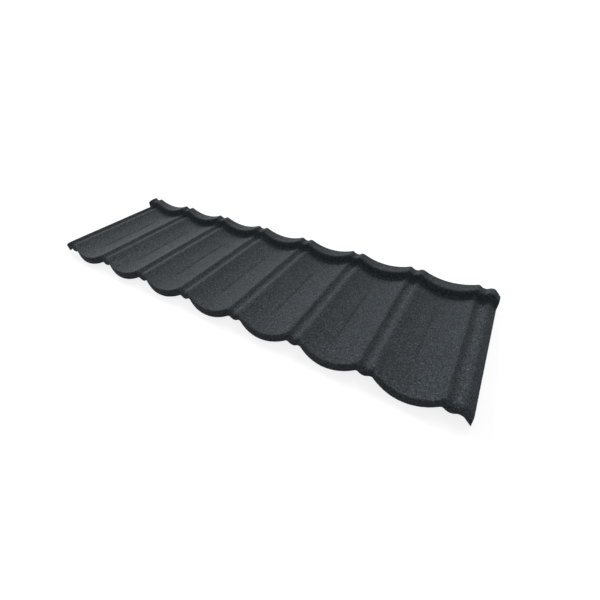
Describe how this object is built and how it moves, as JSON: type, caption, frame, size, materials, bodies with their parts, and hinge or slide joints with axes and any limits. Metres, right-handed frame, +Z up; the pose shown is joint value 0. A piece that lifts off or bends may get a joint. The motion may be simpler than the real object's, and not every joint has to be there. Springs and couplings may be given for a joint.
{
  "type": "tile effect metal roofing sheet",
  "caption": "Stone-coated steel roofing sheet, one course deep: dished pans between double-crested ribs, a scalloped nose along the front and a raised lip and shelf along the back.",
  "frame": {"origin": "centre of the bottom of the bounding box, on the level floor that the sheet lies on", "axes": "+X along the width, from the left edge to the right; +Y from the nose to the back lip; +Z up"},
  "size_m": [1.3462, 0.4084, 0.0455],
  "materials": {
    "granule_coated_steel": "charcoal stone granules bonded over coated steel, matt and gritty"
  },
  "bodies": {
    "root": {"roofing_sheet": "granule_coated_steel"}
  },
  "joints": []
}
